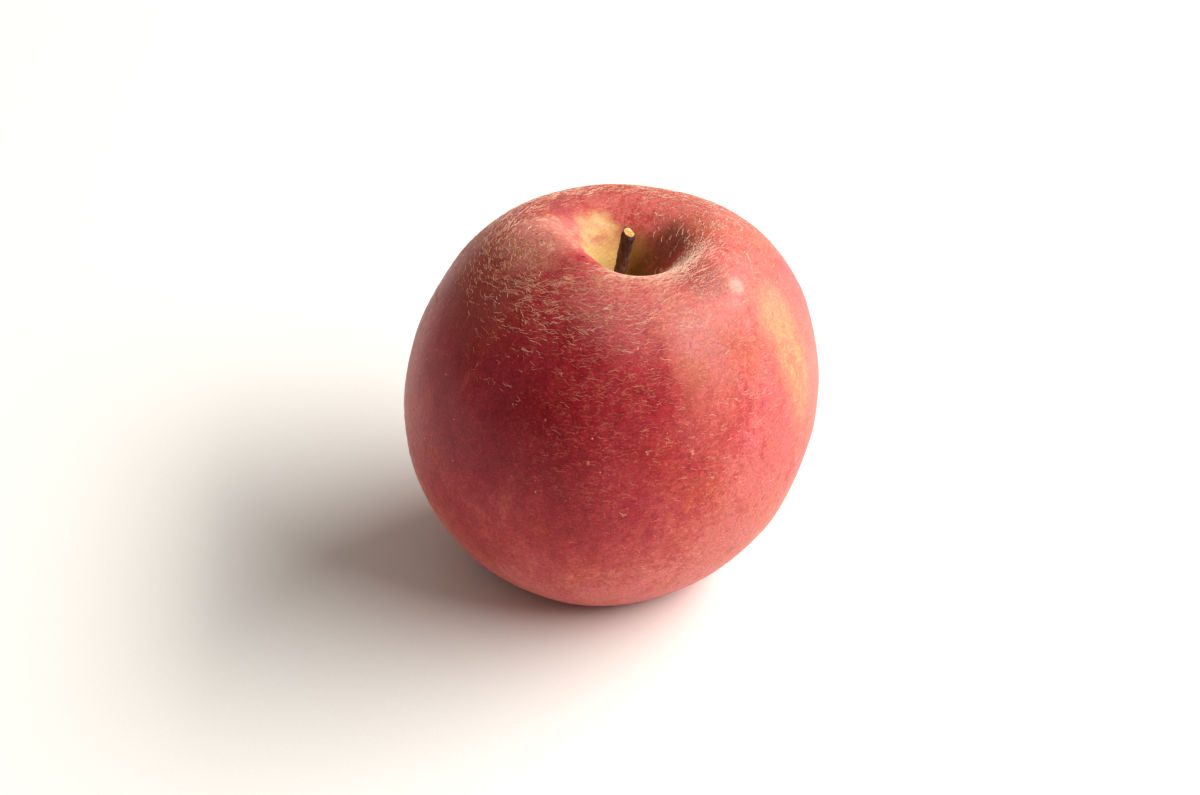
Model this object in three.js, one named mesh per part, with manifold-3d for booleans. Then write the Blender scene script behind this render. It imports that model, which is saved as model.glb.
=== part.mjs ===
// A red apple as picked: the fruit, its short cut stem, and the dried calyx in the hollow underneath.
// Millimetres, +Z up. The fruit stands on the knobs round its calyx hollow, on the plane z = 0.
// The origin is on that plane, under the middle of the whole outline. The front is -Y.
import * as THREE from "three";
import { mergeVertices } from "three/addons/utils/BufferGeometryUtils.js";
import Module from "manifold-3d";

const wasm = await Module();
wasm.setup();

// Driving dimensions of the fruit
const FRUIT_WIDTH = 80;
const CROWN_HEIGHT = 41.1; // from the widest level to the top, before the hollows are pressed in
const SHOULDER_FULLNESS = -0.022; // below 0 the side stays rounder, above 0 it grows square
const TOP_HEAVINESS = 0.01; // how much wider the upper half is than the lower half
const END_FLATNESS = -0.036; // below 0 the two ends are flatter
const LEAN = 2.02; // how far the crown stands to the right of the widest level
const BOW = 1.3; // both ends bend to the right by this much

const LOBES = 5;
const LOBE_SHARE = 0.009; // of the radius, at the calyx end, fading out at the shoulder
const LOBE_TURN = 0.846;
const SHOULDER_WAVE = 0.027; // of the radius, three swells at the shoulder
const SHOULDER_TURN = 0.015;
const OVAL_SHARE = 0.007; // of the radius, longer along one line than across it
const OVAL_TURN = 0.845;

// The hollow that the stem stands in: a bowl with a narrow pit in its middle
const STEM_BOWL = { depth: 16.6, radius: 10.85, flare: 2.05 };
const STEM_PIT = { depth: 3.5, radius: 3.6, flare: 1.2 };
const BACK_SOFTNESS = 0.93; // how much less the bowl flares at the back than at the sides
const MOUTH_SHIFT = { share: 0.141, turn: -0.5 }; // of the bowl's radius, wider on one side
const MOUTH_OVAL = { share: 0.099, turn: -0.964 }; // of the bowl's radius, longer along one line
const MOUTH_CORNERS = { share: 0.058, turn: 0.488 }; // of the bowl's radius, three blunt corners

// The hollow that the calyx sits in, with a pucker between each two lobes
const CALYX_BASIN = { depth: 13.5, radius: 10.5, flare: 2.2 };
const PUCKER_DEPTH = 0.9;
const PUCKER_RADIUS = 12;
const PUCKER_SPREAD = 5;
const FOOT_FLAT = 0.6; // how deep the knobs are flattened where the fruit stands

const GAP = 0.3; // clearance between two pieces that meet

// The stem, from the foot of the funnel to its slanted cut
const STEM_ROOT_RADIUS = 1.15;
const STEM_WAIST_RADIUS = 1.08;
const STEM_TIP_RADIUS = 1.3;
const STEM_HEIGHT = 13.9; // above the foot of the funnel
const STEM_ROOT_LENGTH = 3; // in its socket
const STEM_LEAN = 2.3; // how far the tip stands to the right of the foot
const STEM_BEND = 1.3; // 1 is straight, above 1 the lean comes late
const STEM_CUT_NORMAL = new THREE.Vector3(0.45, -0.3, 1).normalize();

// The calyx: a small cup, five dried sepals curled outwards, and the dried stamens in the middle
const CUP_RADIUS = 2.7;
const CUP_DEPTH = 1.6; // in its socket
const CUP_RIM = 0.7; // how far the cup stands out of its socket
const SEPALS = 5;
const SEPAL = { length: 6.2, width: 2.9, thickness: 0.7 };
const SEPAL_PITCH = 1.15; // it leaves the cup this steeply and curls outwards from there
const STAMENS = 9;
const STAMEN = { length: 2.6, radius: 0.34, ring: 1.25 };

// How finely each piece is divided
const FRUIT_COLUMNS = 75;
const FRUIT_ROWS = 45;
const STEM_COLUMNS = 14;
const STEM_ROWS = 14;

const TURN = Math.PI * 2;

// A closed body over a stack of rings with equal counts of points, closed by a point at each end.
// The rings run so that, looked at from the first end, their points go round anticlockwise.
function closedBody(rings, firstEnd, lastEnd) {
  const count = rings[0].length;
  const points = [firstEnd, ...rings.flat(), lastEnd];
  const last = points.length - 1;
  const at = (row, column) => 1 + row * count + (column % count);
  const faces = [];
  for (let column = 0; column < count; column++) {
    faces.push(0, at(0, column), at(0, column + 1));
    for (let row = 0; row + 1 < rings.length; row++) {
      const [a, b] = [at(row, column), at(row, column + 1)];
      const [c, d] = [at(row + 1, column), at(row + 1, column + 1)];
      faces.push(a, c, d, a, d, b);
    }
    faces.push(at(rings.length - 1, column + 1), at(rings.length - 1, column), last);
  }
  const geometry = new THREE.BufferGeometry().setFromPoints(points);
  geometry.setIndex(faces);
  return geometry;
}

function bump(value, centre, spread) {
  return Math.exp(-(((value - centre) / spread) ** 2));
}

function hollow({ depth, radius, flare }, distance) {
  return depth * Math.exp(-((distance / radius) ** flare));
}

// How deep the skin is pressed in at the stem, at an angle and a distance from the axis.
function stemHollow(angle, distance) {
  const mouth =
    1 +
    MOUTH_SHIFT.share * Math.cos(angle - MOUTH_SHIFT.turn) +
    MOUTH_OVAL.share * Math.cos(2 * (angle - MOUTH_OVAL.turn)) +
    MOUTH_CORNERS.share * Math.cos(3 * (angle - MOUTH_CORNERS.turn));
  const flare = STEM_BOWL.flare - BACK_SOFTNESS * Math.sin(angle);
  return hollow({ ...STEM_BOWL, flare }, distance / mouth) + hollow(STEM_PIT, distance);
}

function calyxHollow(angle, distance) {
  const between = 0.5 - 0.5 * Math.cos(LOBES * (angle - LOBE_TURN));
  const pucker = PUCKER_DEPTH * between * bump(distance, PUCKER_RADIUS, PUCKER_SPREAD);
  return hollow(CALYX_BASIN, distance) + pucker;
}

// A point of the skin. fall runs from 0 at the stem to PI at the calyx, angle runs round the fruit.
// Heights are counted from the widest level.
function skinPoint(angle, fall) {
  const low = (1 - Math.cos(fall)) / 2;
  const lobes = LOBE_SHARE * Math.cos(LOBES * (angle - LOBE_TURN)) * low;
  const shoulders = SHOULDER_WAVE * Math.cos(3 * (angle - SHOULDER_TURN)) * (1 - low);
  const oval = OVAL_SHARE * Math.cos(2 * (angle - OVAL_TURN));
  const swell = 1 + (lobes + shoulders + oval) * Math.sqrt(Math.sin(fall));
  const outline =
    Math.sin(fall) + SHOULDER_FULLNESS * Math.sin(3 * fall) + TOP_HEAVINESS * Math.sin(2 * fall);
  const radius = ((FRUIT_WIDTH / 2) * swell * outline) / (1 - SHOULDER_FULLNESS);
  let height =
    (CROWN_HEIGHT * (Math.cos(fall) + END_FLATNESS * Math.cos(3 * fall))) / (1 + END_FLATNESS);
  const share = Math.abs(Math.cos(fall));
  if (fall < Math.PI / 2) height -= share * stemHollow(angle, radius);
  else height += share * calyxHollow(angle, radius);
  const level = height / CROWN_HEIGHT;
  const across = LEAN * level + BOW * level * level;
  return new THREE.Vector3(
    radius * Math.cos(angle) + across,
    radius * Math.sin(angle),
    height,
  );
}

// The falls of the rows, spaced evenly along the skin between the two sockets.
function rowFalls(firstFall, lastFall) {
  const steps = 2000;
  const falls = [];
  const lengths = [0];
  let before = null;
  for (let step = 0; step <= steps; step++) {
    const fall = firstFall + ((lastFall - firstFall) * step) / steps;
    const point = skinPoint(0, fall);
    if (before) lengths.push(lengths.at(-1) + point.distanceTo(before));
    falls.push(fall);
    before = point;
  }
  return Array.from({ length: FRUIT_ROWS }, (_, row) => {
    const wanted = (lengths.at(-1) * row) / (FRUIT_ROWS - 1);
    return falls[lengths.findIndex((length) => length >= wanted - 1e-9)];
  });
}

// The fall at which the skin is a given distance from the axis, next to one of its ends.
function fallAtRadius(wanted, fromCalyx) {
  const step = 1e-4;
  let fall = fromCalyx ? Math.PI - step : step;
  const middle = (f) => skinPoint(Math.PI / 2, f).y;
  while (middle(fall) < wanted) fall += fromCalyx ? -step : step;
  return fall;
}

function ringOfSkin(fall) {
  return Array.from({ length: FRUIT_COLUMNS }, (_, column) =>
    skinPoint((TURN * column) / FRUIT_COLUMNS, fall),
  );
}

function middleOf(ring) {
  const middle = new THREE.Vector3();
  ring.forEach((point) => middle.add(point));
  return middle.divideScalar(ring.length);
}

function levelRing(middle, radius, height, columns) {
  return Array.from({ length: columns }, (_, column) => {
    const angle = (TURN * column) / columns;
    return new THREE.Vector3(
      middle.x + radius * Math.cos(angle),
      middle.y + radius * Math.sin(angle),
      height,
    );
  });
}

const stemSocketRadius = STEM_ROOT_RADIUS + GAP;
const calyxSocketRadius = CUP_RADIUS + GAP;
const skinRings = rowFalls(
  fallAtRadius(stemSocketRadius, false),
  fallAtRadius(calyxSocketRadius, true),
).map(ringOfSkin);

// The lowest level of the knobs, and the plane a little above it that they are flattened to.
const lowest = Math.min(...skinRings.flat().map((point) => point.z));
const standing = lowest + FOOT_FLAT;
skinRings.flat().forEach((point) => {
  point.z = Math.max(point.z, standing) - standing;
});

// Where the stem and the calyx stand: the middle of each socket's mouth.
const stemFoot = middleOf(skinRings[0]);
const calyxFoot = middleOf(skinRings.at(-1));
stemFoot.z = Math.min(...skinRings[0].map((point) => point.z));
calyxFoot.z = Math.max(...skinRings.at(-1).map((point) => point.z));

function fruit() {
  const stemFloor = stemFoot.z - STEM_ROOT_LENGTH - GAP;
  const calyxRoof = calyxFoot.z + CUP_DEPTH + GAP;
  const rings = [
    levelRing(stemFoot, stemSocketRadius, stemFloor, FRUIT_COLUMNS),
    ...skinRings,
    levelRing(calyxFoot, calyxSocketRadius, calyxRoof, FRUIT_COLUMNS),
  ];
  return closedBody(
    rings,
    new THREE.Vector3(stemFoot.x, stemFoot.y, stemFloor),
    new THREE.Vector3(calyxFoot.x, calyxFoot.y, calyxRoof),
  );
}

// The stem rises straight out of its socket and then bends to the right.
function stem() {
  const rings = [];
  const tip = new THREE.Vector3(stemFoot.x + STEM_LEAN, stemFoot.y, stemFoot.z + STEM_HEIGHT);
  for (let row = 0; row < STEM_ROWS; row++) {
    const rise = -STEM_ROOT_LENGTH + ((STEM_HEIGHT + STEM_ROOT_LENGTH) * row) / (STEM_ROWS - 1);
    const share = Math.max(rise / STEM_HEIGHT, 0);
    const radius =
      THREE.MathUtils.lerp(STEM_ROOT_RADIUS, STEM_WAIST_RADIUS, Math.sin(Math.PI * share)) +
      (STEM_TIP_RADIUS - STEM_ROOT_RADIUS) * share ** 3;
    const middle = new THREE.Vector3(
      stemFoot.x + STEM_LEAN * share ** STEM_BEND,
      stemFoot.y,
      stemFoot.z + rise,
    );
    const ring = levelRing(middle, radius, middle.z, STEM_COLUMNS);
    // Near the tip the rings slope more and more, until the last one lies in the plane of the cut.
    const slant = share ** 4;
    ring.forEach((point) => {
      const off = point.clone().sub(middle);
      const drop = (off.x * STEM_CUT_NORMAL.x + off.y * STEM_CUT_NORMAL.y) / STEM_CUT_NORMAL.z;
      point.z -= slant * drop;
    });
    rings.push(ring);
  }
  const root = new THREE.Vector3(stemFoot.x, stemFoot.y, stemFoot.z - STEM_ROOT_LENGTH);
  return closedBody(rings.reverse(), tip, root);
}

function asSolid(geometry) {
  const bare = geometry.clone();
  bare.deleteAttribute("normal");
  bare.deleteAttribute("uv");
  const merged = mergeVertices(bare, 1e-4);
  return new wasm.Manifold(
    new wasm.Mesh({
      numProp: 3,
      vertProperties: merged.attributes.position.array,
      triVerts: new Uint32Array(merged.index.array),
    }),
  );
}

function asGeometry(solid) {
  const mesh = solid.getMesh();
  const geometry = new THREE.BufferGeometry();
  geometry.setAttribute("position", new THREE.BufferAttribute(mesh.vertProperties, 3));
  geometry.setIndex(new THREE.BufferAttribute(mesh.triVerts, 1));
  return geometry;
}

// A dried sepal: a thin leaf with a keel, which hangs out of the cup and curls outwards.
function sepal(angle, curl) {
  const rings = [];
  const rows = 8;
  const outwards = new THREE.Vector3(Math.cos(angle), Math.sin(angle), 0);
  const sideways = new THREE.Vector3(-Math.sin(angle), Math.cos(angle), 0);
  const place = calyxFoot.clone().addScaledVector(outwards, CUP_RADIUS - SEPAL.thickness);
  let pitch = SEPAL_PITCH;
  const step = (SEPAL.length + CUP_RIM) / rows;
  for (let row = 0; row <= rows; row++) {
    const share = row / rows;
    const along = outwards.clone().multiplyScalar(Math.cos(pitch)).setZ(-Math.sin(pitch));
    const across = sideways.clone();
    const through = along.clone().cross(across);
    const half = (SEPAL.width / 2) * Math.cos((Math.PI / 2) * Math.max(share - 0.25, 0) * 1.2);
    const thick = SEPAL.thickness * (1 - 0.45 * share);
    const section = [
      [-half, 0],
      [0, -thick / 2],
      [half, 0],
      [half * 0.5, thick * 0.4],
      [0, thick * 0.62],
      [-half * 0.5, thick * 0.4],
    ];
    rings.push(
      section.map(([s, t]) => place.clone().addScaledVector(across, s).addScaledVector(through, t)),
    );
    place.addScaledVector(along, step);
    pitch -= curl / rows;
  }
  const first = middleOf(rings[0]);
  const last = middleOf(rings.at(-1));
  return closedBody(rings.reverse(), last, first);
}

function stamen(angle, splay) {
  const rows = 3;
  const rings = [];
  for (let row = 0; row <= rows; row++) {
    const share = row / rows;
    const ring = STAMEN.ring + splay * share;
    const middle = new THREE.Vector3(
      calyxFoot.x + ring * Math.cos(angle),
      calyxFoot.y + ring * Math.sin(angle),
      calyxFoot.z - STAMEN.length * share,
    );
    rings.push(levelRing(middle, STAMEN.radius * (1 - 0.25 * share), middle.z, 5));
  }
  return closedBody(rings, middleOf(rings[0]), middleOf(rings.at(-1)));
}

function calyx() {
  const height = CUP_DEPTH + CUP_RIM;
  const cup = new THREE.CylinderGeometry(CUP_RADIUS, CUP_RADIUS, height, 20);
  cup.rotateX(Math.PI / 2);
  cup.translate(calyxFoot.x, calyxFoot.y, calyxFoot.z + CUP_DEPTH - height / 2);
  let solid = asSolid(cup);
  for (let index = 0; index < SEPALS; index++) {
    const angle = LOBE_TURN + (TURN * (index + 0.5)) / SEPALS;
    solid = solid.add(asSolid(sepal(angle, 1 + 0.35 * Math.sin(2.3 * index))));
  }
  for (let index = 0; index < STAMENS; index++) {
    const angle = (TURN * index) / STAMENS;
    solid = solid.add(asSolid(stamen(angle, 0.3 * Math.sin(3.1 * index))));
  }
  return asGeometry(solid);
}

const skin = new THREE.MeshStandardMaterial({ color: "#b03a42", roughness: 0.5, metalness: 0 });
const bark = new THREE.MeshStandardMaterial({ color: "#3b2013", roughness: 0.85, metalness: 0 });
const driedLeaf = new THREE.MeshStandardMaterial({ color: "#5a4028", roughness: 0.9, metalness: 0 });

function piece(name, geometry, material) {
  geometry.computeVertexNormals();
  const mesh = new THREE.Mesh(geometry, material);
  mesh.name = name;
  return mesh;
}

const pieces = new THREE.Group();
pieces.add(piece("fruit", fruit(), skin));
pieces.add(piece("stem", stem(), bark));
pieces.add(piece("calyx", calyx(), driedLeaf));

const outline = new THREE.Box3().setFromObject(pieces);
pieces.position.set(
  -(outline.min.x + outline.max.x) / 2,
  -(outline.min.y + outline.max.y) / 2,
  -outline.min.z,
);

const apple = new THREE.Group();
apple.add(pieces);
export default apple;
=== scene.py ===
"""A red apple on a pale floor: waxy skin with russet hairlines, a cut woody stem, a dried calyx.

Everything is in metres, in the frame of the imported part: +Z up, the front is -Y. Numbers given in
mm are multiplied by MM. A turn runs round the upright from +X and a fall is the angle down from
the top, both seen from CORE and in radians.
"""

import math
import random

import bpy
from mathutils import Matrix, Vector
from mathutils.bvhtree import BVHTree


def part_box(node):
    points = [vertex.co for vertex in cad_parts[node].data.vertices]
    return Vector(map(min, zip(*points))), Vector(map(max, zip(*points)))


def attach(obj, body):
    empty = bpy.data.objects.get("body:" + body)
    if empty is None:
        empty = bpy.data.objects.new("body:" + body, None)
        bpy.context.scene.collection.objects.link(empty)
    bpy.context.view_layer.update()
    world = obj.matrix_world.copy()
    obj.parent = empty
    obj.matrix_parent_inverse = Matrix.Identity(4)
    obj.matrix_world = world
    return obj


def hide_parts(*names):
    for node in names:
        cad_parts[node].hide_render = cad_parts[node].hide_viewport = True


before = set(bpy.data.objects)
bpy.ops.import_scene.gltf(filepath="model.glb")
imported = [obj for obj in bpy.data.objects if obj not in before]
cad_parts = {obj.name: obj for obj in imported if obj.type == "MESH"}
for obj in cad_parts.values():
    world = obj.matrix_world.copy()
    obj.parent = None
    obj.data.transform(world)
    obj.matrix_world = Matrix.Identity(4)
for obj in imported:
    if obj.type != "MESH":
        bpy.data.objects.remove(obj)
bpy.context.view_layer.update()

MM = 0.001

# Where the parts of the apple are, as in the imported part
STEM_FOOT = Vector((1.0, 0.19, 58.5)) * MM
CALYX_FOOT = Vector((-1.28, 0.19, 8.16)) * MM
CORE = Vector((-0.3, 0.19, 36.5)) * MM
STEM_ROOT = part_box("stem")[0].z + 0.3 * MM
BODY = 40  # the fruit's radius in mm

# The stem: how far its tip is above its foot and to the right of it, and which way its cut looks
STEM_RISE = 13.7
STEM_LEAN = 2.3
CUT_UP = Vector((0.4, -0.27, 1)).normalized()

# Settings that many nodes share
TIMES = {"operation": "MULTIPLY"}
TIMES_PLUS = {"operation": "MULTIPLY_ADD"}
DOT = {"operation": "DOT_PRODUCT"}
SMOOTH = {"interpolation_type": "SMOOTHSTEP"}
RGBA = {"data_type": "RGBA"}


# ---------------------------------------------------------------- helpers


def colour(sheet):
    """An sRGB hex value as linear red, green, blue and alpha."""
    parts = [int(sheet[i : i + 2], 16) / 255 for i in (1, 3, 5)]
    return [c / 12.92 if c <= 0.04045 else ((c + 0.055) / 1.055) ** 2.4 for c in parts] + [1]


def material(name):
    """A node material; returns it, a function that adds a node and one that feeds its shader."""
    made = bpy.data.materials.new(name)
    made.use_nodes = True
    tree = made.node_tree

    def link(value, socket):
        """Gives the socket a value or an sRGB hex colour, or links a socket or a node's output to it."""
        if isinstance(value, bpy.types.Node):
            value = next(output for output in value.outputs if output.enabled)
        if isinstance(value, bpy.types.NodeSocket):
            tree.links.new(value, socket)
        else:
            socket.default_value = colour(value) if isinstance(value, str) else value

    def add(kind, links=(), stops=(), **settings):
        """Adds a node. links gives what its inputs get, in order or by name; stops are a colour scale's."""
        node = tree.nodes.new("ShaderNode" + kind)
        for key, value in settings.items():
            setattr(node, key, value)
        for key, value in links.items() if isinstance(links, dict) else enumerate(links):
            link(value, node.inputs[key])
        for position, _ in stops[1:-1]:
            node.color_ramp.elements.new(position)
        if stops:
            for stop, (position, sheet) in zip(node.color_ramp.elements, stops):
                stop.position, stop.color = position, colour(sheet)
        return node

    def feed(links):
        for key, value in links.items():
            link(value, tree.nodes["Principled BSDF"].inputs[key])

    return made, add, feed


def only(piece):
    """Makes the piece the one selected and active object."""
    bpy.ops.object.select_all(action="DESELECT")
    piece.select_set(True)
    bpy.context.view_layer.objects.active = piece


def edit(piece):
    """Opens the piece in edit mode, all of it selected."""
    only(piece)
    bpy.ops.object.mode_set(mode="EDIT")
    bpy.ops.mesh.select_all(action="SELECT")


def done():
    bpy.ops.object.mode_set(mode="OBJECT")


def settle(piece):
    """Puts the piece's place and turn into its mesh."""
    only(piece)
    bpy.ops.object.transform_apply(location=True, rotation=True, scale=True)


def close(piece):
    """Turns the faces outwards and leaves edit mode."""
    bpy.ops.mesh.select_all(action="SELECT")
    bpy.ops.mesh.normals_make_consistent(inside=False)
    done()


def modify(piece, kind, **settings):
    """Adds a modifier with its settings and applies it."""
    only(piece)
    added = piece.modifiers.new(kind.lower(), kind)
    for key, value in settings.items():
        setattr(added, key, value)
    bpy.ops.object.modifier_apply(modifier=added.name)


def roughen(piece, name, size, depth, detail=2, **settings):
    """Pushes the surface in and out by lumps of that size and depth, in mm."""
    lumps = bpy.data.textures.new(name, "CLOUDS")
    lumps.noise_scale = size * MM
    lumps.noise_depth = detail
    modify(piece, "DISPLACE", texture=lumps, texture_coords="LOCAL", strength=depth * MM, **settings)


def smooth(piece):
    for face in piece.data.polygons:
        face.use_smooth = True
    return piece


def dress(piece, node, finish):
    """Puts the piece on the apple in place of a node, with its finish."""
    piece.data.materials.clear()
    piece.data.materials.append(finish)
    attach(piece, "root")
    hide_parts(node)


# ---------------------------------------------------------------- the fruit's skin


def grown_skin():
    """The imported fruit, its facets joined to quads, smoothed and given its slight unevenness."""
    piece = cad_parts["fruit"].copy()
    piece.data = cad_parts["fruit"].data.copy()
    piece.name = piece.data.name = "fruit_skin"
    piece.parent = None
    piece.matrix_world = Matrix.Identity(4)
    bpy.context.collection.objects.link(piece)
    edit(piece)
    bpy.ops.mesh.remove_doubles(threshold=1e-6)
    bpy.ops.mesh.tris_convert_to_quads(
        face_threshold=math.radians(60), shape_threshold=math.radians(60)
    )
    done()
    modify(piece, "SUBSURF", levels=2, render_levels=2)
    # The foot and the pits of stem and calyx stay as they are, and the unevenness grows from there.
    free = piece.vertex_groups.new(name="free_skin")
    for vertex in piece.data.vertices:
        above_foot = min(max((vertex.co.z - 3 * MM) / (10 * MM), 0), 1)
        from_axis = math.hypot(vertex.co.x - STEM_FOOT.x, vertex.co.y - STEM_FOOT.y)
        from_pit = min(max((from_axis - 3 * MM) / (6 * MM), 0), 1)
        free.add([vertex.index], above_foot * from_pit, "REPLACE")
    for name, size, depth in (("swells", 17, 0.55), ("dimples", 6, 0.16)):
        roughen(piece, name, size, depth, detail=1, mid_level=0.6, vertex_group="free_skin")
    piece.vertex_groups.clear()
    return smooth(piece)


def skin_material():
    """Apple skin: a red blush over yellow ground colour, under a thin bloom of wax.

    The blush is grown in fine strips from stem to calyx, so the eye sees faint upright streaks and
    clouds. The wax takes the edge off the shine. Fine russet hairlines run round the stem.
    """
    made, add, feed = material("apple skin, blushed, with wax bloom")

    # Places on the skin, measured from the apple's own axis, which leans a little to the right
    place = add("TexCoord").outputs["Object"]
    height = add("SeparateXYZ", (place,)).outputs["Z"]
    lean = math.atan2(STEM_FOOT.x - CALYX_FOOT.x, STEM_FOOT.z - CALYX_FOOT.z)
    centred = add("VectorMath", (place, CORE), operation="SUBTRACT")
    own = add("Mapping", {"Vector": centred, "Rotation": (0, -lean, 0)})
    own_xyz = add("SeparateXYZ", (own,))
    reach = add("VectorMath", (own,), operation="LENGTH")
    cosine = add("Math", (own_xyz.outputs["Z"], reach), operation="DIVIDE")
    fall = add("Math", (cosine,), operation="ARCCOSINE")
    flat = add("VectorMath", (own, (1, 1, 0)), **TIMES)
    turn = add("VectorMath", (flat,), operation="NORMALIZE")
    from_axis = add("VectorMath", (flat,), operation="LENGTH")

    # Long fine strips from stem to calyx, 0.8 mm and 4 mm wide at the widest level
    strip_space = add("CombineXYZ", {"Z": add("Math", (fall, 0.55), **TIMES)})
    strips = add("VectorMath", (turn, strip_space), operation="ADD")
    fine_strips = add("TexNoise", {"Vector": strips, "Scale": 26, "Detail": 3, "Roughness": 0.6})
    broad_strips = add("TexNoise", {"Vector": strips, "Scale": 6, "Detail": 2, "Roughness": 0.55})

    # Unevenness of every size. A scale is in cells to the metre, so 420 gives mottling of 2.4 mm.
    clouds, ragged, mottle, dapple, grain, dots, fine_grain, crowding = (
        add("TexNoise", {"Vector": own, "Scale": scale, "Detail": detail, "Roughness": roughness})
        for scale, detail, roughness in (
            (60, 4, 0.6),
            (140, 3, 0.6),
            (420, 3, 0.65),
            (950, 3, 0.7),
            (1700, 2, 0.6),
            (2500, 2, 0.6),
            (3100, 1, 0.5),
            (330, 3, 0.7),
        )
    )

    def near(centre, radius, wobble):
        """1 at a place on the skin, fading to 0 at the radius, with an uneven edge; all in mm."""
        gap = add("VectorMath", (place, Vector(centre) * MM), operation="DISTANCE")
        uneven = add("Math", (ragged, -0.5), operation="ADD")
        length = add("Math", (uneven, wobble * MM, gap), **TIMES_PLUS)
        return add("MapRange", (length, radius * MM, radius * 0.35 * MM), **SMOOTH)

    def streak(centre, direction, length, width):
        """Like near, but drawn out along a direction; half its length and half its width in mm."""
        local = add("VectorMath", (place, Vector(centre) * MM), operation="SUBTRACT")
        line = Vector(direction).normalized()
        along = add("VectorMath", (local, line), **DOT)
        drawn = add("Math", (along, width / length - 1), **TIMES)
        shift = add("VectorMath", {0: line, "Scale": drawn}, operation="SCALE")
        short = add("VectorMath", (add("VectorMath", (local, shift), operation="ADD"),), operation="LENGTH")
        uneven = add("Math", (fine_strips, width * MM, short), **TIMES_PLUS)
        return add("MapRange", (uneven, width * 1.5 * MM, width * 0.8 * MM), **SMOOTH)

    def overlap(first, *others):
        """Where all of the masks are."""
        for other in others:
            first = add("Math", (first, other), **TIMES)
        return first

    def coats(skin, *layers):
        """Lays colours over the skin: each layer is its mask, how thick it lies there, and its colour."""
        for mask, thickness, sheet in layers:
            share = add("Math", (mask, thickness), **TIMES)
            skin = add("Mix", {0: share, 6: skin, 7: sheet}, **RGBA)
        return skin

    # How pale the blush is. It is deepest on the front, partly where the sun reached it and partly as
    # painted shade on the side turned from the light, and pales all round but for two places at the back;
    # its palest red is partly a painted sheen on the rims.
    from_sun_and_shade = add("VectorMath", (place, Vector((-13, -30, 53)) * MM), operation="DISTANCE")
    tone = add("MapRange", (from_sun_and_shade, 0, 41.5 * MM))
    back_left = near((-17, 17, 67), 22, 8)
    back = near((14, 36, 46), 38, 14)
    for part, share in (
        (broad_strips, 0.4),
        (clouds, 0.5),
        (fine_strips, 0.27),
        (mottle, 0.5),
        (dapple, 0.45),
        (back_left, -0.3),
        (back, -0.4),
    ):
        tone = add("Math", (part, share, tone), **TIMES_PLUS)
    reds = ((0.0, "#760510"), (0.35, "#8f1220"), (0.6, "#a52730"), (0.85, "#bd4844"), (1.0, "#ce675f"))
    shade = add("ValToRGB", (add("MapRange", (tone, 1.06, 2.06)),), reds)

    # Faint broad strips where the blush is thin, one paler stripe down the front, and stains
    facing_stripe = add("VectorMath", (turn, (0.49, -0.87, 0)), **DOT)
    stripe_edge = add("Math", (ragged, 0.02, facing_stripe), **TIMES_PLUS)
    stripe = overlap(
        add("MapRange", (stripe_edge, 0.98, 1.008), **SMOOTH),
        add("MapRange", (fall, 1.35, 1.0), **SMOOTH),
        add("MapRange", (fall, 0.5, 0.7), **SMOOTH),
    )
    thin = overlap(
        add("MapRange", (broad_strips, 0.58, 0.72), **SMOOTH),
        add("MapRange", (clouds, 0.4, 0.62), **SMOOTH),
    )
    blush = coats(
        shade,
        (thin, 0.25, "#c4604e"),
        (stripe, 0.3, "#cf7f62"),
        (back_left, 0.45, "#b56a64"),
        (near((-24, -10, 66), 17, 8), 0.4, "#99503f"),  # brown, left of the hollow
        (near((15.5, -15, 72), 8, 5), 0.75, "#8a3830"),  # brown, at the mouth's right front
        (near((18.8, -24.5, 63), 12, 8), 0.3, "#cf8084"),  # painted sheen, a mauve haze beside the highlight, right of the middle
        (near((35, 2, 60), 13, 8), 0.5, "#cf4f56"),  # clear red, on the far right shoulder
        (near((20, 5, 72), 11, 6), 0.4, "#dc7c70"),  # pink, at the mouth's back right
    )
    # Here and there the red turns to purple or to orange.
    for scale, low, most, tint in ((48, 0.48, 0.6, "#ffd4ff"), (75, 0.5, 0.8, "#ffffd0")):
        hue = add("TexNoise", {"Vector": own, "Scale": scale, "Detail": 3, "Roughness": 0.6})
        share = add("MapRange", (hue, low, low + 0.2, 0, most), **SMOOTH)
        blush = add("Mix", {0: share, 6: blush, 7: tint}, blend_type="MULTIPLY", **RGBA)

    # Yellow-orange ground colour, bare in a long patch on the right shoulder and in one at the back
    mottled = add("MapRange", (mottle, 0.35, 0.65), **SMOOTH)
    ground = add("Mix", {0: mottled, 6: "#e99e68", 7: "#de805a"}, **RGBA)
    down_right = (0.3, -0.12, -0.95)
    patch_right = streak((33, -14.8, 55.2), down_right, 20, 6.6)
    patch_back = streak((-27, 27, 46), (-0.25, 0.2, -0.94), 20, 7)
    patch = add("Math", (patch_right, patch_back), operation="MAXIMUM")
    bright_lip = near((-12, -3.5, 73.5), 12.5, 7)
    blush = coats(
        blush,
        (near((23, -14, 69.2), 2, 3), 0.4, "#efc3ac"),  # painted highlight, the window's glint on the right shoulder
        (streak((35.5, -11, 52), down_right, 25, 12), 0.35, "#d9826e"),  # halo of the patch
        (near((29.5, -13, 62), 7, 5), 0.45, "#e8a07e"),  # its top
        (patch, add("MapRange", (fine_strips, 0.3, 0.62, 0.4, 0.9), **SMOOTH), ground),
        (streak((32.1, -21.5, 31.4), (-0.44, -0.42, -0.79), 2.4, 0.28), 0.7, "#7c2c2c"),  # scar
        (bright_lip, 0.6, "#db9280"),
        (bright_lip, add("MapRange", (mottle, 0.52, 0.64, 0, 0.6), **SMOOTH), "#e9b594"),
    )
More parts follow.
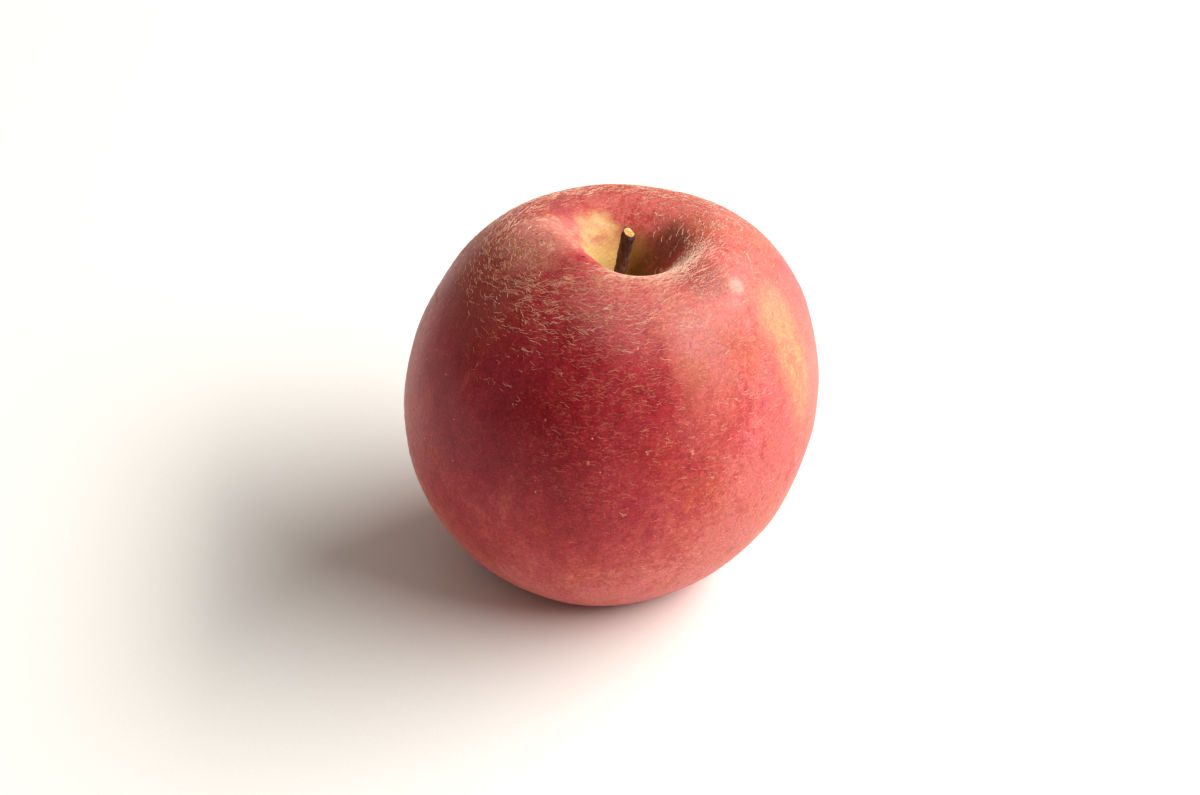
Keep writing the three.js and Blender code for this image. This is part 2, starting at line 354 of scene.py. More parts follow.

    # Yellow and olive skin in the stem's hollow, redder up its back wall; low on its right, turned from the
    # light, it is painted dark brown as shade
    above = add("MapRange", (height, 50 * MM, 56 * MM), **SMOOTH)
    spike = near((-3.6, 9.6, 70.5), 6, 7)
    pink_wall = near((-10.5, 4, 72.3), 7, 7)
    rim = from_axis
    for part, share in ((ragged, 5), (mottle, 3), (spike, -4.5), (pink_wall, 3)):
        rim = add("Math", (part, share * MM, rim), **TIMES_PLUS)
    fringe = overlap(add("MapRange", (rim, 14.5 * MM, 10 * MM), **SMOOTH), above)
    hollow = overlap(add("MapRange", (rim, 14 * MM, 8 * MM), **SMOOTH), above)
    # painted shade: the hollow's right side, turned from the light, goes dark brown, its left pale yellow
    leftwards = add("MapRange", (own_xyz.outputs["X"], 3 * MM, -1 * MM), **SMOOTH)
    olive_and_shade = coats(
        add("Mix", {0: leftwards, 6: "#6f470c", 7: "#e6c47c"}, **RGBA),
        (add("MapRange", (mottle, 0.4, 0.75), **SMOOTH), 0.3, "#a8792f"),
        (spike, 0.8, "#e29e70"),
        (near((-4, -2, 62), 9, 4), 0.4, "#aba350"),  # green at the stem's foot
        (streak((-2.6, 9.4, 70.2), (0.64, -0.63, -0.43), 5, 1.3), 0.7, "#f4cf96"),  # ridge
        (near((4.5, 6.5, 67.5), 4, 3), 0.5, "#8a7a22"),  # green right of the stem
        (add("MapRange", (clouds, 0.52, 0.68), **SMOOTH), 0.08, "#bd6a4a"),
    )
    # Pale fibres lie along the mouth of the hollow, thickest low on its right.
    facing_mouth = add("VectorMath", (turn, (-0.5, -0.87, 0)), **DOT)
    mouth = overlap(
        add("MapRange", (rim, 15 * MM, 13 * MM), **SMOOTH),
        add("MapRange", (rim, 10.5 * MM, 12 * MM), **SMOOTH),
        above,
        add("MapRange", (facing_mouth, -0.3, 0.6), **SMOOTH),
    )
    skin = coats(
        blush,
        (fringe, 0.4, "#9a4a30"),
        (near((11, 2.5, 68), 7, 6), 0.65, "#5e3212"),  # painted shade, dark brown on the right wall
        (hollow, 1, olive_and_shade),
        (pink_wall, add("MapRange", (mottle, 0.5, 0.62, 0, 0.5), **SMOOTH), "#e6ae86"),
        (mouth, 0.35, "#cf9c84"),
        (near((11.8, -8, 69.6), 5, 3), 0.5, "#bd9a7c"),
    )

    # Greenish yellow skin round the calyx
    basin_edge = add("Math", (ragged, 7 * MM, from_axis), **TIMES_PLUS)
    basin = overlap(
        add("MapRange", (basin_edge, 19 * MM, 11 * MM), **SMOOTH),
        add("MapRange", (height, 22 * MM, 14 * MM), **SMOOTH),
    )
    patchy = add("MapRange", (mottle, 0.35, 0.7), **SMOOTH)
    under = add("Mix", {0: patchy, 6: "#c9b45e", 7: "#b98a4a"}, **RGBA)

    # A web of russet too fine to be modelled: its lines are 0.15 mm wide and 2 mm long and run
    # round the stem. It covers the shoulder and, lower down, two sides only.
    drawn_round = 4.2  # how many times longer its cells are round the stem than down the skin
    ring_space = add("CombineXYZ", {"Z": add("Math", (fall, BODY * drawn_round * MM), **TIMES)})
    rings = add("VectorMath", (flat, ring_space), operation="ADD")
    wander = add("VectorMath", (ragged.outputs["Color"], (0.0016, 0.0016, 0.004)), **TIMES)
    bent = add("VectorMath", (rings, wander), operation="ADD")
    cells = add("TexNoise", {"Vector": bent, "Scale": 330, "Detail": 2, "Roughness": 0.6, "Distortion": 0.3})
    from_line = add("Math", (add("Math", (cells, 0.5), operation="SUBTRACT"),), operation="ABSOLUTE")
    facing_web = add("VectorMath", (turn, (0.42, -0.91, 0)), **DOT)
    two_sides = add("Math", (facing_web,), operation="ABSOLUTE")
    flank_web = overlap(
        add("MapRange", (two_sides, 0.45, 0.97), **SMOOTH),
        add("MapRange", (fall, 2.1, 1.2), **SMOOTH),
    )
    shoulder_web = overlap(
        add("MapRange", (fall, 0.9, 0.65), **SMOOTH),
        add("MapRange", (fall, 0.3, 0.45), **SMOOTH),
    )
    web = overlap(
        add("MapRange", (from_line, 0.03, 0.008), **SMOOTH),
        add("MapRange", (crowding, 0.44, 0.56), **SMOOTH),
        add("Math", (flank_web, shoulder_web), operation="MAXIMUM"),
    )

    # Pores: cream dots 0.3 to 0.6 mm across, one to about 6 square millimetres
    pores = add("TexVoronoi", {"Vector": own, "Scale": 520, "Randomness": 1.0})
    pore_pick = add("SeparateColor", (pores.outputs["Color"],))
    pore_size = add("MapRange", (pore_pick, 0.45, 1.0, 0.0, 0.13))
    pore_edge = add("Math", (pore_size, pores.outputs["Distance"]), operation="SUBTRACT")
    pore = add("MapRange", (pore_edge, 0.0, 0.06), **SMOOTH)

    # Lines too fine to be seen singly make the skin in front of the lip pinker. Bloom is a thin
    # pale haze of wax, rubbed off in places.
    fine_lines = add("TexNoise", {"Vector": rings, "Scale": 900, "Detail": 3, "Roughness": 0.7})
    veil = add("MapRange", (fine_lines, 0.36, 0.64, 0.12, 0.38), **SMOOTH)
    skin = coats(
        skin,
        (basin, 0.85, under),
        (web, 0.4, "#d97a66"),
        (pore, 0.85, "#dfa08a"),
        (near((3, -22, 71), 14, 7), veil, "#db9088"),
        (add("MapRange", (clouds, 0.4, 0.7), **SMOOTH), 0.04, "#c8808a"),
        (add("MapRange", (dots, 0.52, 0.7), **SMOOTH), 0.2, "#c8605c"),
    )

    # Fine light and dark grain, weaker in the hollow
    speckle = add("Math", (grain, 0.9, add("Math", (fine_grain, 1.1), **TIMES)), **TIMES_PLUS)
    speckle = add("MapRange", (speckle, 0.7, 1.3, 0.72, 1.28))
    speckle = add("Mix", {0: add("Math", (hollow, 0.7), **TIMES), 2: speckle, 3: 1.0})

    rough = 0.36
    for part, share in ((mottle, 0.14), (web, 0.25), (hollow, 0.12)):
        rough = add("Math", (part, share, rough), **TIMES_PLUS)
    relief = add("Math", (grain, 0.35, add("Math", (mottle, 0.8), **TIMES)), **TIMES_PLUS)
    feed(
        {
            "Base Color": add("VectorMath", {0: skin, "Scale": speckle}, operation="SCALE"),
            "Roughness": rough,
            "Normal": add("Bump", {"Strength": 0.35, "Distance": 0.05 * MM, "Height": relief}),
            "IOR": 1.45,
            "Subsurface Weight": 0.1,
            "Subsurface Radius": (1.0, 0.35, 0.2),
            "Subsurface Scale": 2.5 * MM,
            "Specular IOR Level": 0.27,
            "Sheen Weight": 0.02,
        }
    )
    return made


# ---------------------------------------------------------------- russet marks on the skin


# The larger split pores: turn, fall and size in mm
SPLIT_PORES = (
    (-1.11, 0.64, 0.9), (-1.22, 0.74, 0.9), (-1.59, 0.69, 0.7), (-1.17, 1.32, 1.1),
    (-1.67, 1.31, 0.9), (-1.0, 0.9, 0.7), (-1.3, 1.24, 0.7), (-1.4, 1.27, 0.7),
    (-1.0, 1.23, 0.6), (-2.1, 0.86, 0.5), (-2.35, 1.0, 0.4), (0.3, 0.8, 0.8),
    (1.2, 1.1, 0.7), (2.0, 0.9, 0.9), (2.6, 1.3, 0.6), (0.7, 1.4, 0.9),
)  # fmt: skip

NEAR_POLE = 0.12  # the least sine of a fall, which keeps steps round the stem finite
ROOTED = 0.03  # how deep in mm a fleck's edges lie under the skin
DARK = -1  # the tint of dirt


class Slivers:
    """Thin raised flecks on the skin: each is a closed three-sided strip that tapers at both ends."""

    def __init__(self, skin, seed):
        mesh = skin.data
        self.tree = BVHTree.FromPolygons(
            [v.co.copy() for v in mesh.vertices], [tuple(p.vertices) for p in mesh.polygons]
        )
        self.points, self.faces, self.tints = [], [], []
        self.random = random.Random(seed)

    def on_skin(self, turn, fall):
        """The place on the skin at that turn and fall, and the way the skin faces there."""
        aside = math.sin(fall)
        out = Vector((aside * math.cos(turn), aside * math.sin(turn), math.cos(fall)))
        place, normal, _, _ = self.tree.ray_cast(CORE, out)
        return place, normal

    def strip(self, path, width, tint, height=0.05):
        """A fleck along a path of (turn, fall) pairs, width and height in mm."""
        spots = [self.on_skin(*step) for step in path]
        if any(place is None for place, _ in spots):
            return
        start = len(self.points)
        last = len(spots) - 1
        for i, (place, normal) in enumerate(spots):
            along = spots[min(i + 1, last)][0] - spots[max(i - 1, 0)][0]
            side = along.cross(normal).normalized()
            fat = 0.3 if i in (0, last) else self.random.uniform(0.75, 1.25)
            half = side * (width * fat / 2 * MM)
            lift = height * (0.35 if i in (0, last) else 1) * MM
            base = place - normal * ROOTED * MM
            self.points += [base - half, place + normal * lift, base + half]
        for i in range(last):
            a = start + 3 * i
            for j, k in ((0, 1), (1, 2), (2, 0)):
                self.faces.append((a + j, a + k, a + 3 + k, a + 3 + j))
        self.faces.append((start + 2, start + 1, start))
        end = start + 3 * last
        self.faces.append((end, end + 1, end + 2))
        if tint >= 0:  # the cork is painted paler on the right, where the light falls and the skin is paler
            tint += 0.45 * max(0, math.cos(path[0][0] + 0.1))
        self.tints += [tint] * (len(self.points) - start)

    def hairline(self, turn, fall, length, width, heading, waver=0.16, fork=True, *, tint):
        """A wavering crack about that long, in mm, round the stem; heading turns it off that line."""
        steps = max(3, min(9, round(length / 0.38)))
        step = length / steps
        path = []
        bend = heading
        for _ in range(steps + 1):
            path.append((turn, fall))
            bend += self.random.gauss(0, waver)
            bend += (heading - bend) * 0.3
            kink = bend + self.random.choice((-1, 1)) * self.random.uniform(0.1, 0.55)
            turn += step * math.cos(kink) / (BODY * max(math.sin(fall), NEAR_POLE))
            fall += step * math.sin(kink) / BODY
        self.strip(path, width, tint)
        if fork and self.random.random() < 0.3:
            middle = path[len(path) // 2]
            side = self.random.choice((-1, 1)) * self.random.uniform(0.5, 1.1)
            self.hairline(*middle, length * 0.4, width * 0.8, heading + side, waver, False, tint=tint)

    def group(self, count, length, width, turn, fall, heading, waver, tint):
        """That many hairlines about one place. Turn and heading are a middle and a spread, fall is
        how it is drawn and its two numbers, and the rest are ranges."""
        pick = self.random
        draw, *falls = fall
        for _ in range(count):
            size = pick.uniform(*length), pick.uniform(*width)
            spot = pick.gauss(*turn), draw(*falls)
            self.hairline(*spot, *size, pick.gauss(*heading), waver, tint=pick.uniform(*tint))

    def star(self, turn, fall, size, tint=None):
        """A split pore: short broad arms from one place, so close that they run into each other."""
        arms = self.random.randint(5, 7)
        first = self.random.uniform(0, math.tau)
        tint = self.random.uniform(0.1, 0.6) if tint is None else tint
        for arm in range(arms):
            way = first + math.tau * arm / arms + self.random.uniform(-0.4, 0.4)
            reach = size * self.random.choice((0.25, 0.4, 0.6, 0.95))
            path = []
            for share in (-0.2, 0.4, 1.0):
                aside, down = reach * share * math.cos(way), reach * share * math.sin(way)
                around = BODY * max(math.sin(fall), NEAR_POLE)
                path.append((turn + aside / around, fall + down / BODY))
            self.strip(path, size * self.random.uniform(0.25, 0.45), tint, 0.06)

    def mesh(self, name):
        """The flecks as one piece, which keeps each fleck's tint for the cork's colour."""
        data = bpy.data.meshes.new(name)
        data.from_pydata(self.points, [], self.faces)
        tint = data.attributes.new("tint", "FLOAT", "POINT")
        tint.data.foreach_set("value", self.tints)
        piece = bpy.data.objects.new(name, data)
        bpy.context.collection.objects.link(piece)
        edit(piece)
        close(piece)
        return piece


def clumps(pick, low, high, count):
    return [(pick.uniform(0, math.tau), pick.uniform(low, high)) for _ in range(count)]


def clumping(turn, fall, places):
    """1 in the middle of a clump, about 0 between them."""
    best = 0
    for at_turn, at_fall in places:
        aside = (turn - at_turn + math.pi) % math.tau - math.pi
        across, down = aside * math.sin(fall) / 0.3, (fall - at_fall) / 0.22
        best = max(best, math.exp(-(across**2) - down**2))
    return best


def shoulder_marks(skin):
    """Short fine cracks that crowd the shoulder, and broader tan ones in two groups."""
    slivers = Slivers(skin, 11)
    pick = slivers.random
    places = clumps(pick, 0.4, 0.9, 30)
    laid = 0
    while laid < 2700:
        turn, fall = pick.uniform(0, math.tau), math.acos(pick.uniform(0.55, 0.96))
        share = math.exp(-(((fall - 0.56) / 0.18) ** 2))
        if pick.random() > share * (0.45 + 0.55 * clumping(turn, fall, places)):
            continue
        # The larger tan group is at the upper left, the smaller at the back right.
        tan = max(0, math.cos(turn + 2.65)) ** 4 + 0.6 * max(0, math.cos(turn - 0.9)) ** 4
        tan *= math.exp(-(((fall - 0.54) / 0.16) ** 2))
        if pick.random() < 0.52 * tan:
            tint = pick.uniform(0.2, 0.75)
            for _ in range(2):  # two cracks that run along and across each other
                length, width = pick.uniform(1.0, 2.8), pick.uniform(0.1, 0.24)
                aside, down = pick.gauss(0, 0.006), pick.gauss(0, 0.004)
                slivers.hairline(turn + aside, fall + down, length, width, -0.3, 0.22, tint=tint)
        elif pick.random() > 0.25 * tan:
            length, width = pick.uniform(0.5, 2.2), pick.uniform(0.06, 0.12)
            tint = pick.uniform(0.2, 0.9)
            slivers.hairline(turn, fall, length, width, pick.gauss(0, 0.2), tint=tint)
        laid += 1
    # Pale lines crowd the front of the lip.
    front_of_lip = (pick.gauss, 0.62, 0.12)
    slivers.group(450, (0.8, 2.6), (0.07, 0.14), (-1.45, 0.5), front_of_lip, (0, 0.18), 0.16, (0.5, 1))
    return slivers.mesh("russet_on_shoulder")


def flank_marks(skin):
    """Looser groups of cracks down the flanks, split pores, and long lines round the hollow's mouth."""
    slivers = Slivers(skin, 5)
    pick = slivers.random
    places = clumps(pick, 0.7, 2.2, 46)
    laid = 0
    while laid < 2300:
        turn, fall = pick.uniform(0, math.tau), math.acos(pick.uniform(-0.75, 0.8))
        share = math.exp(-(((fall - 0.85) / 0.33) ** 2)) + 0.14
        share *= 0.1 + 0.9 * math.cos(turn + 1.2) ** 4
        if pick.random() < share * (0.12 + 0.88 * clumping(turn, fall, places)):
            tint = pick.uniform(0, 0.5)
            length, width = pick.uniform(0.4, 2.0), pick.uniform(0.05, 0.1)
            slivers.hairline(turn, fall, length, width, pick.gauss(0, 0.3), tint=tint)
            laid += 1
    for _ in range(560):  # long lines round the hollow's mouth, most of them on the front
        around = pick.random() < 0.3
        turn = pick.uniform(0, math.tau) if around else pick.gauss(-1.35, 0.6)
        length, width = pick.uniform(1.5, 4), pick.uniform(0.05, 0.1)
        fall = pick.uniform(0.44 if around else 0.38, 0.54)
        heading, tint = pick.gauss(0, 0.12), pick.uniform(0.4, 1)
        slivers.hairline(turn, fall, length, width, heading, 0.08, tint=tint)
    for row in (
        # pale short lines on the right of the front
        (330, (0.5, 1.9), (0.05, 0.1), (-0.8, 0.26), (pick.gauss, 0.95, 0.24), (0, 0.4), 0.16, (0.8, 1.2)),
        # a few dull ones down the hollow's right wall
        (16, (1.2, 3), (0.05, 0.08), (-0.2, 0.3), (pick.uniform, 0.36, 0.44), (0, 0.2), 0.1, (0, 0.25)),
        # the fan of fibres low on the right of the hollow's mouth
        (130, (1.5, 4), (0.05, 0.11), (-0.72, 0.2), (pick.gauss, 0.44, 0.03), (-0.15, 0.2), 0.12, (0.6, 1)),
        # some that run down from it
        (18, (1, 3), (0.06, 0.12), (-0.6, 0.15), (pick.uniform, 0.38, 0.43), (0.9, 0.3), 0.15, (0.4, 0.8)),
    ):
        slivers.group(*row)
    # A scratch with dark dirt in it low on the front
    slivers.hairline(-1.53, 1.565, 1.3, 0.13, 0.5, 0.4, tint=0.7)
    slivers.hairline(-1.515, 1.58, 1.0, 0.13, -0.3, 0.4, tint=0.7)
    slivers.hairline(-1.53, 1.59, 0.8, 0.16, 0.2, 0.4, tint=DARK)
    slivers.star(-1.5, 1.6, 0.35, DARK)
    # One dark speck on the lip
    slivers.star(-1.94, 0.346, 0.5, DARK)
    slivers.star(-1.945, 0.35, 0.4, DARK)
    for _ in range(90):
        turn, fall = pick.uniform(0, math.tau), math.acos(pick.uniform(-0.8, 0.85))
        slivers.star(turn, fall, pick.uniform(0.2, 0.45))
    for turn, fall, size in SPLIT_PORES:
        tint = pick.uniform(0, 0.3)
        slivers.star(turn, fall, size, tint)
        slivers.star(turn + pick.gauss(0, 0.007), fall + pick.gauss(0, 0.007), size * 0.7, tint)
        for _ in range(3):  # short cracks that run out of it
            aside, down = pick.gauss(0, 0.01), pick.gauss(0, 0.008)
            length, heading = size * pick.uniform(0.7, 1.5), pick.gauss(0, 0.5)
            slivers.hairline(turn + aside, fall + down, length, 0.09, heading, tint=tint)
    return slivers.mesh("russet_on_flanks")


def russet_material():
    """Russet: corky tissue that healed over cracks in the skin. Dry and pale tan against the red."""
    made, add, feed = material("russet cork, healed skin cracks")
    tint = add("Attribute", attribute_name="tint").outputs["Fac"]
    place = add("TexCoord").outputs["Object"]
    fleck = add("TexNoise", {"Vector": place, "Scale": 2200, "Detail": 2})
    dry = add("Math", (fleck, 0.4, add("Math", (tint, 0.8), **TIMES)), **TIMES_PLUS)
    corks = ((0.0, "#2a120a"), (0.1, "#c86e5c"), (0.5, "#d88e6a"), (0.95, "#ecc4ae"))
    feed(
        {
            "Base Color": add("ValToRGB", (dry,), corks),
            "Roughness": add("MapRange", (fleck, 0, 1, 0.6, 0.85)),
            "IOR": 1.45,
        }
    )
    return made


# ---------------------------------------------------------------- the stem


# The stem's rings, as rise above its foot and radius in mm: first those of the swollen foot, then
# the radii of those that are evenly spaced up to the tip
FOOT_RINGS = ((-1.2, 1.0), (-0.2, 1.45), (0.3, 1.8), (0.9, 1.6), (1.7, 1.35))
SHAFT_RADII = (1.24, 1.2, 1.18, 1.16, 1.16, 1.16, 1.17, 1.18, 1.2, 1.24, 1.3, 1.34, 1.3)


def cut_stem():
    """A ring carried up from the root, swelling at the foot and the tip, then cut off at a slant."""
    bpy.ops.object.select_all(action="DESELECT")
    root = Vector((STEM_FOOT.x, STEM_FOOT.y, STEM_ROOT))
    bpy.ops.mesh.primitive_circle_add(vertices=28, radius=1.0 * MM, location=root)
    piece = bpy.context.object
    piece.name = piece.data.name = "woody_stem"
    edit(piece)
    bpy.ops.mesh.edge_face_add()
    bpy.ops.mesh.normals_make_consistent(inside=False)
    shaft_foot = FOOT_RINGS[-1][0]
    gap = (STEM_RISE - shaft_foot) / len(SHAFT_RADII)
    shaft = [(shaft_foot + gap * (i + 1), radius) for i, radius in enumerate(SHAFT_RADII)]
    here, radius = root.copy(), 1.0
    for rise, next_radius in (*FOOT_RINGS, *shaft):
        lean = STEM_LEAN * max(rise / STEM_RISE, 0) ** 1.3
        there = Vector((STEM_FOOT.x + lean * MM, STEM_FOOT.y, STEM_FOOT.z + rise * MM))
        bpy.ops.mesh.extrude_region_move(TRANSFORM_OT_translate={"value": there - here})
        bpy.ops.transform.resize(value=(next_radius / radius,) * 3, center_override=there)
        here, radius = there, next_radius
    # The last ring is tipped, then set in so that the bark stands round the wood.
    bpy.ops.transform.rotate(value=math.radians(-24), orient_axis="Y", center_override=here)
    bpy.ops.transform.rotate(value=math.radians(-16), orient_axis="X", center_override=here)
    bpy.ops.mesh.extrude_region_move(TRANSFORM_OT_translate={"value": CUT_UP * 0.1 * MM})
    for thickness, depth in ((0.2, 0.02), (0.12, -0.09), (0.35, 0.05), (0.3, 0.02)):
        bpy.ops.mesh.inset(thickness=thickness * MM, depth=depth * MM)
    done()
    settle(piece)
    modify(piece, "SUBSURF", levels=2, render_levels=2)
    for name, size, depth in (("bark_ridges", 1.2, 0.42), ("bark_cracks", 0.4, 0.2)):
        roughen(piece, name, size, depth, mid_level=0.5)
    return smooth(piece)


def stem_material():
    """Apple wood under dark bark: dull brown-black bark with paler ridges, and a fresh ochre cut."""
    made, add, feed = material("apple twig, dried bark and cut wood")
    place = add("TexCoord").outputs["Object"]
    tip = STEM_FOOT + Vector((STEM_LEAN, 0, STEM_RISE)) * MM
    local = add("Mapping", {"Vector": place, "Location": -tip})
    # Bark ridges 0.7 mm wide run up the stem, with dusty blotches of 2.4 mm.
    upright = add("Mapping", {"Vector": local, "Scale": (1, 1, 0.22)})
    ridges = add("TexNoise", {"Vector": upright, "Scale": 1500, "Detail": 4, "Roughness": 0.65})
    blotch = add("TexNoise", {"Vector": local, "Scale": 420, "Detail": 3})
    dark_bark = add("ValToRGB", (ridges,), ((0.32, "#28110b"), (0.72, "#6d3c2a")))
    dusty = add("MapRange", (blotch, 0.52, 0.7, 0, 0.55))
    bark = add("Mix", {0: dusty, 6: dark_bark, 7: "#7c6450"}, **RGBA)

    # The cut lies in one slanted plane; the wood is what reaches it inside the ring of bark.
    level = add("VectorMath", (local, CUT_UP), **DOT)
    on_top = add("MapRange", (level, -0.45 * MM, -0.25 * MM))
    along = add("VectorMath", {0: CUT_UP, "Scale": level}, operation="SCALE")
    across = add("VectorMath", (local, along), operation="SUBTRACT")
    ring = add("VectorMath", (across,), operation="LENGTH")
    inside = add("MapRange", (ring, 1.12 * MM, 0.98 * MM))
    bare = add("Math", (on_top, inside), **TIMES)
    fibre = add("TexNoise", {"Vector": local, "Scale": 1900, "Detail": 3, "Roughness": 0.7})
    pale_wood = add("ValToRGB", (fibre,), ((0.3, "#a9601c"), (0.7, "#fbd08a")))
    pith = add("MapRange", (ring, 0.55 * MM, 0.25 * MM, 0, 0.6))
    wood = add("Mix", {0: pith, 6: pale_wood, 7: "#b9752c"}, **RGBA)
    relief = add("Math", (ridges, fibre), operation="ADD")
    feed(
        {
            "Base Color": add("Mix", {0: bare, 6: bark, 7: wood}, **RGBA),
            "Roughness": add("MapRange", (ridges, 0, 1, 0.7, 0.95)),
            "Normal": add("Bump", {"Strength": 0.8, "Distance": 0.12 * MM, "Height": relief}),
            "IOR": 1.5,
        }
    )
    return made


# ---------------------------------------------------------------- the calyx


def dried_calyx():
    """Five sepals that hang from a small cup and curl outwards, with dried stamens between them."""
    bpy.ops.object.select_all(action="DESELECT")
    middle = CALYX_FOOT + Vector((0, 0, 0.45)) * MM
    bpy.ops.mesh.primitive_cylinder_add(vertices=30, radius=2.75 * MM, depth=2.2 * MM, location=middle)
    cup = bpy.context.object
    bpy.ops.object.mode_set(mode="EDIT")
    bpy.ops.mesh.select_all(action="DESELECT")
    bpy.ops.mesh.select_mode(type="FACE")
    done()
    for face in cup.data.polygons:
        face.select = face.normal.z < -0.9
    bpy.ops.object.mode_set(mode="EDIT")
    for thickness, depth in ((0.5, 0.15), (0.8, -0.7), (0.8, -0.25)):
        bpy.ops.mesh.inset(thickness=thickness * MM, depth=depth * MM)
    done()
    modify(cup, "BEVEL", width=0.15 * MM, segments=2)
    parts = [cup]
    sepals, stamens, first_turn = 5, 13, 0.846
    for index in range(sepals):
        turn = first_turn + math.tau * (index + 0.5) / sepals
        parts.append(sepal(turn, 1.0 + 0.35 * math.sin(2.3 * index), 0.25 * math.sin(1.7 * index + 1)))
    for index in range(stamens):
        turn = math.tau * index / stamens + 0.2 * math.sin(5 * index)
        parts.append(stamen(turn, 0.35 * math.sin(3.1 * index), 2.6 + 0.7 * math.sin(1.9 * index)))
    bpy.ops.object.select_all(action="DESELECT")
    for part in parts:
        part.select_set(True)
    bpy.context.view_layer.objects.active = cup
    bpy.ops.object.join()
    cup.name = cup.data.name = "dried_calyx"
    settle(cup)
    return smooth(cup)


def sepal(turn, curl, twist):
    """One dried leaf: a thin section carried down, widening and curling out, then drawn to a point."""
    bpy.ops.object.select_all(action="DESELECT")
    bpy.ops.mesh.primitive_plane_add(size=1 * MM, location=(0, 0, 0))
    piece = bpy.context.object
    edit(piece)
    thick, width, pitch, step = 0.45, 2.1, 1.15, 0.82
    bpy.ops.transform.resize(value=(thick, width, 1), center_override=(0, 0, 0))
    widths = (2.7, 2.9, 2.9, 2.6, 2.1, 1.5, 0.9, 0.35)
    here = Vector((0, 0, 0))
    for next_width in widths:
        move = Vector((math.cos(pitch), 0, -math.sin(pitch))) * step * MM
        bpy.ops.mesh.extrude_region_move(TRANSFORM_OT_translate={"value": move})
        here = here + move
        bpy.ops.transform.resize(value=(1, next_width / width, 1), center_override=here)
        for angle, axis in ((curl, "Y"), (twist, "Z")):
            bpy.ops.transform.rotate(value=angle / len(widths), orient_axis=axis, center_override=here)
        width, pitch = next_width, pitch - curl / len(widths)
    close(piece)
    out = Vector((math.cos(turn), math.sin(turn), 0))
    piece.rotation_euler = (0, 0, turn)
    piece.location = CALYX_FOOT + (out * 2.05 - Vector((0, 0, 0.2))) * MM
    settle(piece)
    modify(piece, "SUBSURF", levels=3, render_levels=3)
    roughen(piece, "wrinkles", 0.9, 0.45, mid_level=0.5)
    return piece


def stamen(turn, splay, length):
    """A dried thread: a small ring carried down from the cup in a few bent steps."""
    out = Vector((math.cos(turn), math.sin(turn), 0))
    place = CALYX_FOOT + (out * 1.2 + Vector((0, 0, 0.3))) * MM
    bpy.ops.object.select_all(action="DESELECT")
    bpy.ops.mesh.primitive_circle_add(vertices=7, radius=0.2 * MM, location=place)
    piece = bpy.context.object
    edit(piece)
    bpy.ops.mesh.edge_face_add()
    steps = 4
    for step in range(steps):
        bend = splay + 0.25 * math.sin(2 * step + turn)
        move = (out * bend + Vector((0, 0, -1))) * length / steps * MM
        bpy.ops.mesh.extrude_region_move(TRANSFORM_OT_translate={"value": move})
        place = place + move
        bpy.ops.transform.resize(value=(0.93,) * 3, center_override=place)
    close(piece)
    modify(piece, "SUBSURF", levels=1, render_levels=1)
    return piece


def calyx_material():
    """Dried leaf: brittle, grey-brown, with pale fuzz left along its ridges."""
    made, add, feed = material("dried sepals, brittle leaf")
    place = add("TexCoord").outputs["Object"]
    blotch = add("TexNoise", {"Vector": place, "Scale": 700, "Detail": 4, "Roughness": 0.65})
    fuzz = add("TexNoise", {"Vector": place, "Scale": 3600, "Detail": 2})
    leaf = add("ValToRGB", (blotch,), ((0.3, "#3a2718"), (0.75, "#8a7350")))
    pale = add("MapRange", (fuzz, 0.55, 0.75, 0, 0.5))
    feed(
        {
            "Base Color": add("Mix", {0: pale, 6: leaf, 7: "#b7a88a"}, **RGBA),
            "Roughness": add("MapRange", (blotch, 0, 1, 0.75, 0.95)),
            "Normal": add("Bump", {"Strength": 0.7, "Distance": 0.1 * MM, "Height": fuzz}),
            "IOR": 1.45,
        }
    )
    return made


# ---------------------------------------------------------------- floor, light, camera


def pale_floor():
    """White card, very slightly warm, with a fine tooth of 0.7 mm that keeps it from looking flat."""
    bpy.ops.object.select_all(action="DESELECT")
    bpy.ops.mesh.primitive_plane_add(size=7, location=(0, 0, 0))
    floor = bpy.context.object
    floor.name = "floor"
    made, add, feed = material("smooth white card")
    place = add("TexCoord").outputs["Object"]
    tooth = add("TexNoise", {"Vector": place, "Scale": 1400, "Detail": 3})
    white = add("MapRange", (tooth, 0, 1, 0.86, 0.92))
    less_blue = add("Math", (white, 0.975), **TIMES)
    feed(
        {
            "Base Color": add("CombineColor", (white, white, less_blue)),
            "Normal": add("Bump", {"Strength": 0.15, "Distance": 0.05 * MM, "Height": tooth}),
            "Roughness": 0.9,
        }
    )
    floor.data.materials.append(made)


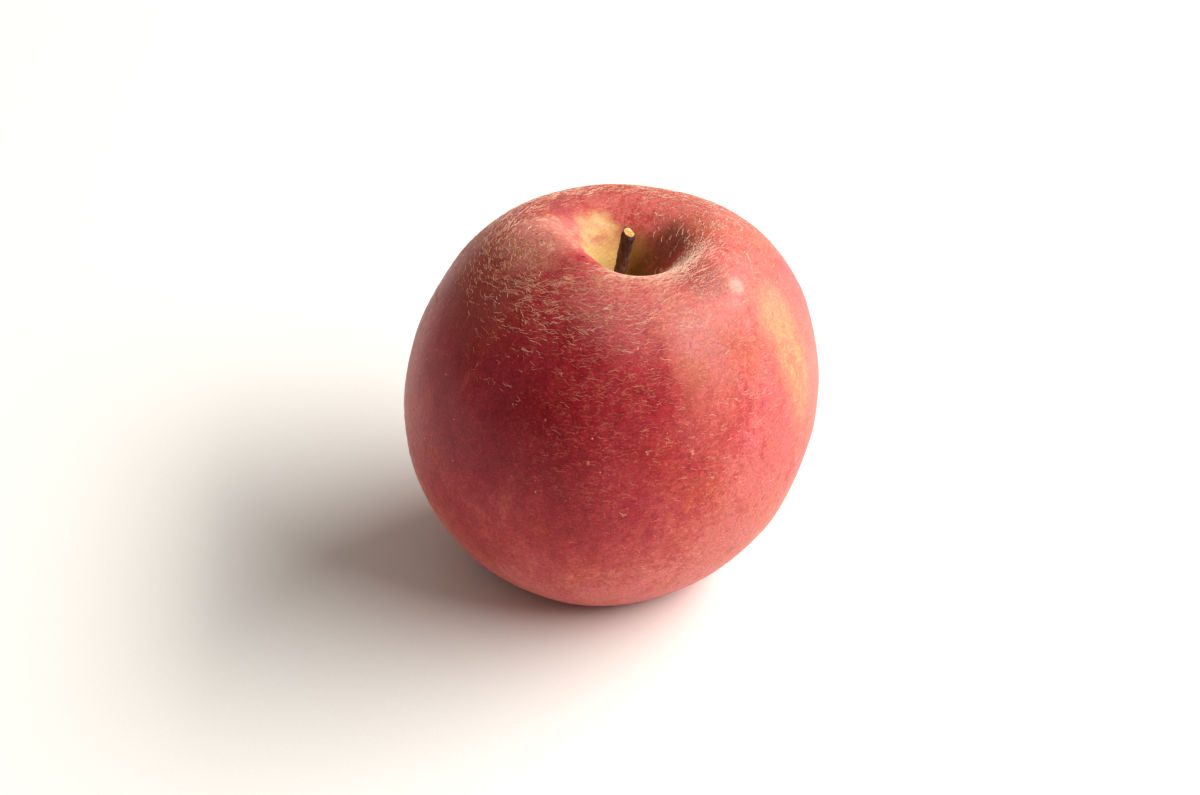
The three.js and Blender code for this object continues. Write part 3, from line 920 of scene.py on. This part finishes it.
def soft_box(name, turn, rise, distance, width, tall, watts, tone):
    """A soft light aimed at the apple; turn in degrees from +X, rise in degrees above the floor."""
    data = bpy.data.lights.new(name, "AREA")
    data.shape = "RECTANGLE"
    data.size, data.size_y = width, tall
    data.energy = watts
    data.color = colour(tone)[:3]
    lamp = bpy.data.objects.new(name, data)
    a, e = math.radians(turn), math.radians(rise)
    way = Vector((math.cos(e) * math.cos(a), math.cos(e) * math.sin(a), math.sin(e)))
    lamp.location = CORE + way * distance
    lamp.rotation_euler = way.to_track_quat("Z", "Y").to_euler()
    bpy.context.collection.objects.link(lamp)


def daylight():
    """A wide window on the right in a pale room whose ceiling is brighter than its walls."""
    world = bpy.data.worlds.new("pale room")
    bpy.context.scene.world = world
    world.use_nodes = True
    nodes, links = world.node_tree.nodes, world.node_tree.links
    room = nodes["Background"]
    room.inputs["Color"].default_value = colour("#fff6ea")
    way = nodes.new("ShaderNodeTexCoord")
    parts = nodes.new("ShaderNodeSeparateXYZ")
    rise = nodes.new("ShaderNodeMapRange")
    rise.inputs["To Min"].default_value = 0.06
    rise.inputs["To Max"].default_value = 0.4
    links.new(way.outputs["Generated"], parts.inputs[0])
    links.new(parts.outputs["Z"], rise.inputs["Value"])
    links.new(rise.outputs[0], room.inputs["Strength"])
    soft_box("window", turn=4, rise=41, distance=2.5, width=3.9, tall=1.02, watts=143, tone="#fffbf6")


def viewpoint():
    """The camera stands half a metre off and looks down on the apple's middle at 33 degrees."""
    data = bpy.data.cameras.new("camera")
    data.sensor_width, data.lens = 36, 77.27
    data.clip_start, data.clip_end = 0.01, 20
    camera = bpy.data.objects.new("camera", data)
    look_down, distance = math.radians(33), 0.5
    back = Vector((0, -math.cos(look_down), math.sin(look_down)))
    up = Vector((0, math.sin(look_down), math.cos(look_down)))
    middle = Vector((-0.5, 0.19, 36.5)) * MM
    # Moved to the left and down a little, which puts the apple where it is in the frame
    camera.location = middle + back * distance + Vector((-1.63 * MM, 0, 0)) - up * 0.82 * MM
    camera.rotation_euler = back.to_track_quat("Z", "Y").to_euler()
    bpy.context.collection.objects.link(camera)
    bpy.context.scene.camera = camera


viewpoint()
daylight()
pale_floor()
bpy.context.scene.view_settings.view_transform = "Standard"

skin = grown_skin()
cork = russet_material()
dress(shoulder_marks(skin), "fruit", cork)
dress(flank_marks(skin), "fruit", cork)
dress(skin, "fruit", skin_material())
dress(cut_stem(), "stem", stem_material())
dress(dried_calyx(), "calyx", calyx_material())
